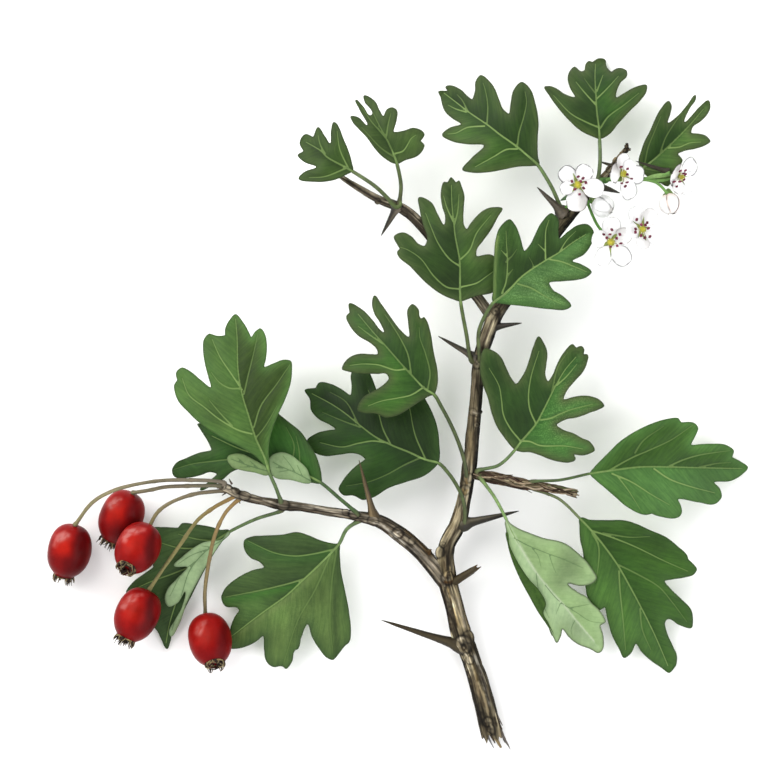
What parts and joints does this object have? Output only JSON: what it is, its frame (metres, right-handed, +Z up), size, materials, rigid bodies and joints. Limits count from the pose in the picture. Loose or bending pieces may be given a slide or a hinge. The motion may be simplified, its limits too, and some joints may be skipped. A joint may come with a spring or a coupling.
{
  "type": "cut hawthorn sprig",
  "caption": "Cut sprig of a thorny broadleaf tree, lying flat: forked woody stem, long thorns, deeply lobed leaves, hanging oval haws and a cluster of small white blossoms.",
  "frame": {"origin": "on the level surface the sprig lies on, under the middle of its bounding box", "axes": "+Z up, away from the surface; the cut foot of the stem points to -Y, the haws to -X, the blossoms to +X and +Y"},
  "size_m": [0.1746, 0.1714, 0.0228],
  "materials": {
    "bark": "rough grey-brown bark, fissured at the foot",
    "thorn": "smooth dark brown, satin",
    "leaf": "dark green, slightly glossy above, paler and matt below, light veins",
    "petal": "white, matt, with green-yellow centre and maroon anthers",
    "green_stalk": "green, matt",
    "haw": "glossy red skin with a dark dry crown",
    "haw_stalk": "tan, matt"
  },
  "bodies": {
    "root": {"blossom_1": "petal", "blossom_2": "petal", "blossom_3": "petal", "blossom_4": "petal", "blossom_5": "petal", "blossom_stalk_left": "green_stalk", "blossom_stalk_right": "green_stalk", "branch_left": "bark", "bud_1": "petal", "bud_2": "petal", "haw_1": "haw", "haw_2": "haw", "haw_3": "haw", "haw_4": "haw", "haw_5": "haw", "haw_stalk_1": "haw_stalk", "haw_stalk_2": "haw_stalk", "haw_stalk_3": "haw_stalk", "haw_stalk_4": "haw_stalk", "haw_stalk_5": "haw_stalk", "leaf_01": "leaf", "leaf_02": "leaf", "leaf_03": "leaf", "leaf_04": "leaf", "leaf_05": "leaf", "leaf_06": "leaf", "leaf_07": "leaf", "leaf_08": "leaf", "leaf_09": "leaf", "leaf_10": "leaf", "leaf_11": "leaf", "leaf_12": "leaf", "leaf_13": "leaf", "leaf_14": "leaf", "leaf_15": "leaf", "leaf_16": "leaf", "leaf_17": "leaf", "spur_right": "bark", "stem_lower": "bark", "stem_middle": "bark", "stem_upper": "bark", "thorn_a": "thorn", "thorn_b": "thorn", "thorn_c": "thorn", "thorn_d": "thorn", "thorn_e": "thorn", "thorn_f": "thorn", "thorn_g": "thorn", "thorn_h": "thorn", "thorn_i": "thorn", "thorn_j": "thorn", "thorn_k": "thorn", "twig_upper_left": "bark"}
  },
  "joints": []
}
